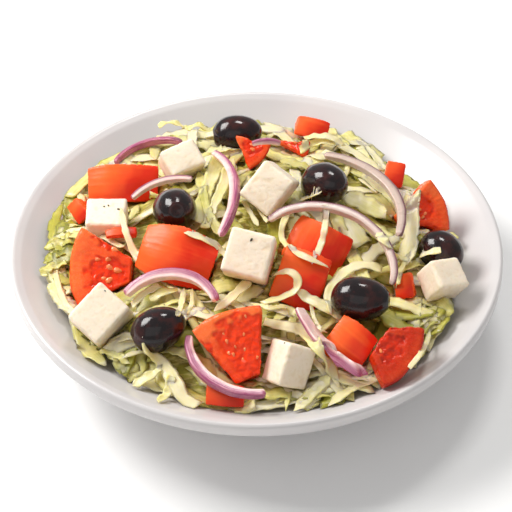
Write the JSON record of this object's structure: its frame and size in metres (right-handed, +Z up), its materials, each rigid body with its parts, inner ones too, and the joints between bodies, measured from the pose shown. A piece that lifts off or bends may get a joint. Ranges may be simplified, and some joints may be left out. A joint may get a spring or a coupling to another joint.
{
  "type": "greek salad in a bowl",
  "caption": "Greek salad of shredded lettuce, black olives, feta cubes, tomato wedges and red onion arcs, heaped in a round white coupe bowl with a foot ring.",
  "frame": {"origin": "centre of the bounding box at the bottom, on the bowl's axis at the foot ring's underside", "axes": "+Z up along the bowl's axis; +X and +Y in the plane of the table, with the side that the salad shows best towards -Y"},
  "size_m": [0.22, 0.22, 0.0744],
  "materials": {
    "bowl_glaze": "glossy white glaze",
    "lettuce_leaf": "moist pale green shredded leaf",
    "olive_skin": "glossy black skin",
    "feta_cheese": "matte creamy white, slightly crumbly",
    "tomato_flesh": "wet red flesh and smooth skin",
    "onion_layer": "moist, pale pink with a purple outer side"
  },
  "bodies": {
    "root": {"bowl": "bowl_glaze", "lettuce": "lettuce_leaf", "olive_01": "olive_skin", "olive_02": "olive_skin", "olive_03": "olive_skin", "olive_04": "olive_skin", "olive_05": "olive_skin", "olive_06": "olive_skin", "feta_01": "feta_cheese", "feta_02": "feta_cheese", "feta_03": "feta_cheese", "feta_04": "feta_cheese", "feta_05": "feta_cheese", "feta_06": "feta_cheese", "feta_07": "feta_cheese", "tomato_01": "tomato_flesh", "tomato_02": "tomato_flesh", "tomato_03": "tomato_flesh", "tomato_04": "tomato_flesh", "tomato_05": "tomato_flesh", "tomato_06": "tomato_flesh", "tomato_07": "tomato_flesh", "tomato_08": "tomato_flesh", "tomato_09": "tomato_flesh", "tomato_10": "tomato_flesh", "tomato_11": "tomato_flesh", "tomato_12": "tomato_flesh", "tomato_13": "tomato_flesh", "tomato_14": "tomato_flesh", "tomato_15": "tomato_flesh", "tomato_16": "tomato_flesh", "tomato_17": "tomato_flesh", "onion_01": "onion_layer", "onion_02": "onion_layer", "onion_03": "onion_layer", "onion_04": "onion_layer", "onion_05": "onion_layer", "onion_06": "onion_layer", "onion_07": "onion_layer", "onion_08": "onion_layer", "onion_09": "onion_layer"}
  },
  "joints": []
}
